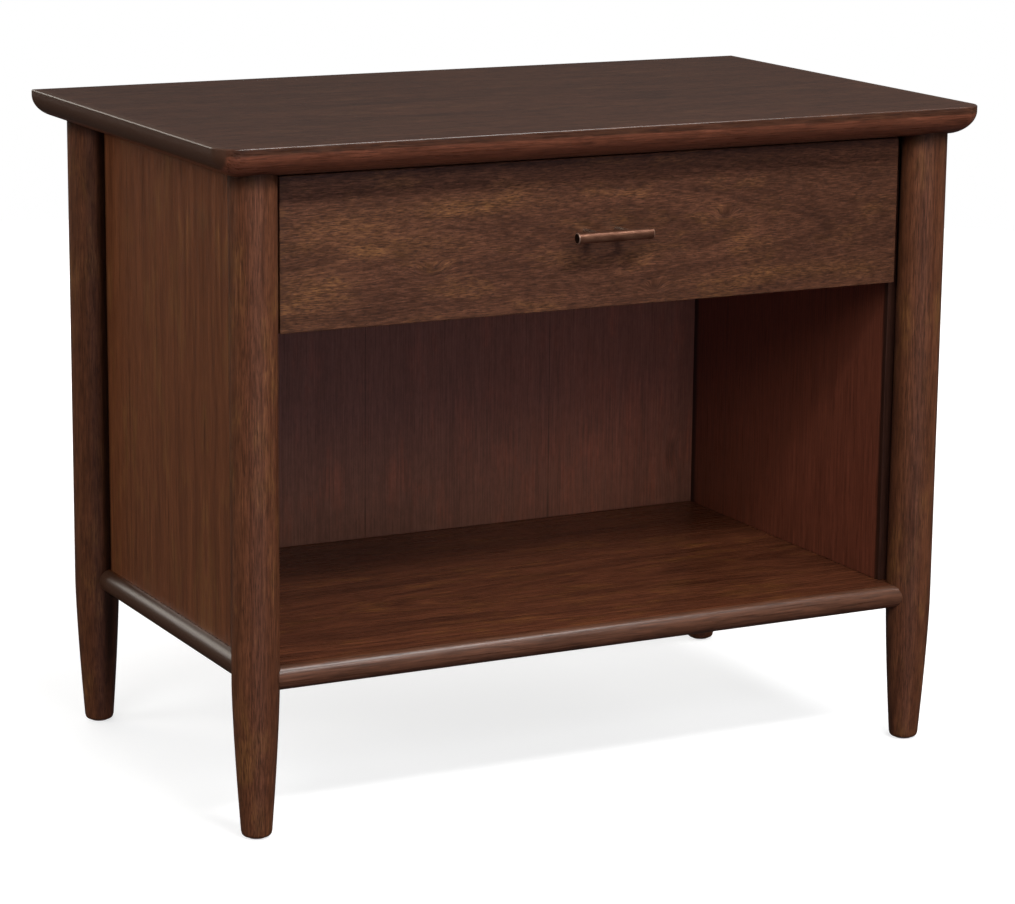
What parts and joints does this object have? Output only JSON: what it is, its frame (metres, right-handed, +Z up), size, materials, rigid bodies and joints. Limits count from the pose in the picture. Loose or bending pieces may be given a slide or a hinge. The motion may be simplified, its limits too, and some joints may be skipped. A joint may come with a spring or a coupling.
{
  "type": "nightstand",
  "caption": "Nightstand with a drawer over an open compartment, four round tapered legs, a top with a rounded underside and a shelf with a half-round edge.",
  "frame": {"origin": "on the floor under the centre of the top", "axes": "+X to the right along the width, -Y towards the drawer front, +Z up"},
  "size_m": [0.762, 0.457, 0.61],
  "materials": {
    "top_wood": "dark walnut stain, satin lacquer, grain along X",
    "leg_wood": "dark walnut stain, satin lacquer, grain along Z",
    "panel_wood": "dark walnut stain, satin lacquer, straight grain along Z",
    "back_wood": "dark walnut stain, satin lacquer, grain along Z",
    "shelf_wood": "dark walnut stain, satin lacquer, grain along X",
    "drawer_wood": "dark walnut stain, satin lacquer, figured grain along X",
    "box_wood": "clear-lacquered light hardwood",
    "frame_wood": "unfinished light hardwood",
    "slide_steel": "bright zinc plate",
    "cage_steel": "oiled sheet steel and polished balls",
    "screw_steel": "zinc plate",
    "handle_bronze": "dark antique bronze, brushed along the bar",
    "post_metal": "antique bronze, worn brighter",
    "glide_nylon": "off-white nylon",
    "bumper_rubber": "soft dark rubber"
  },
  "bodies": {
    "case": {"top": "top_wood", "leg_front_left": "leg_wood", "leg_front_right": "leg_wood", "leg_back_left": "leg_wood", "leg_back_right": "leg_wood", "side_panel_left": "panel_wood", "side_panel_right": "panel_wood", "back_panel": "back_wood", "shelf": "shelf_wood", "front_rail": "frame_wood", "back_rail": "frame_wood", "cleat_left": "frame_wood", "cleat_right": "frame_wood", "glide_front_left": "glide_nylon", "glide_front_right": "glide_nylon", "glide_back_left": "glide_nylon", "glide_back_right": "glide_nylon", "case_dowels": "frame_wood", "shelf_dowels": "frame_wood", "top_screws": "screw_steel", "shelf_screws": "screw_steel", "back_screws": "screw_steel", "slide_cabinet_left": "slide_steel", "slide_cabinet_right": "slide_steel", "slide_case_screws": "screw_steel"},
    "drawer": {"drawer_front": "drawer_wood", "box_front": "box_wood", "box_side_left": "box_wood", "box_side_right": "box_wood", "box_back": "box_wood", "box_bottom": "box_wood", "box_screws": "screw_steel", "handle_bar": "handle_bronze", "handle_posts": "post_metal", "handle_screws": "screw_steel", "bumpers": "bumper_rubber", "slide_drawer_left": "slide_steel", "slide_drawer_right": "slide_steel", "slide_drawer_screws": "screw_steel"},
    "slide_middle_left": {"slide_middle_left": "slide_steel"},
    "ball_cage_outer_left": {"ball_cage_outer_left": "cage_steel"},
    "ball_cage_inner_left": {"ball_cage_inner_left": "cage_steel"},
    "slide_middle_right": {"slide_middle_right": "slide_steel"},
    "ball_cage_outer_right": {"ball_cage_outer_right": "cage_steel"},
    "ball_cage_inner_right": {"ball_cage_inner_right": "cage_steel"}
  },
  "joints": [
    {"name": "drawer_slide", "type": "slide", "parent": "case", "child": "drawer", "axis": [0, -1, 0], "range_m": [0, 0.3]},
    {"name": "slide_middle_left_travel", "type": "slide", "parent": "case", "child": "slide_middle_left", "axis": [0, -1, 0], "range_m": [0, 0.15]},
    {"name": "ball_cage_outer_left_travel", "type": "slide", "parent": "case", "child": "ball_cage_outer_left", "axis": [0, -1, 0], "range_m": [0, 0.075]},
    {"name": "ball_cage_inner_left_travel", "type": "slide", "parent": "case", "child": "ball_cage_inner_left", "axis": [0, -1, 0], "range_m": [0, 0.225]},
    {"name": "slide_middle_right_travel", "type": "slide", "parent": "case", "child": "slide_middle_right", "axis": [0, -1, 0], "range_m": [0, 0.15]},
    {"name": "ball_cage_outer_right_travel", "type": "slide", "parent": "case", "child": "ball_cage_outer_right", "axis": [0, -1, 0], "range_m": [0, 0.075]},
    {"name": "ball_cage_inner_right_travel", "type": "slide", "parent": "case", "child": "ball_cage_inner_right", "axis": [0, -1, 0], "range_m": [0, 0.225]}
  ],
  "couplings": [
    {"joint": "slide_middle_left_travel", "follows": "drawer_slide", "ratio": 0.5},
    {"joint": "ball_cage_outer_left_travel", "follows": "drawer_slide", "ratio": 0.25},
    {"joint": "ball_cage_inner_left_travel", "follows": "drawer_slide", "ratio": 0.75},
    {"joint": "slide_middle_right_travel", "follows": "drawer_slide", "ratio": 0.5},
    {"joint": "ball_cage_outer_right_travel", "follows": "drawer_slide", "ratio": 0.25},
    {"joint": "ball_cage_inner_right_travel", "follows": "drawer_slide", "ratio": 0.75}
  ]
}
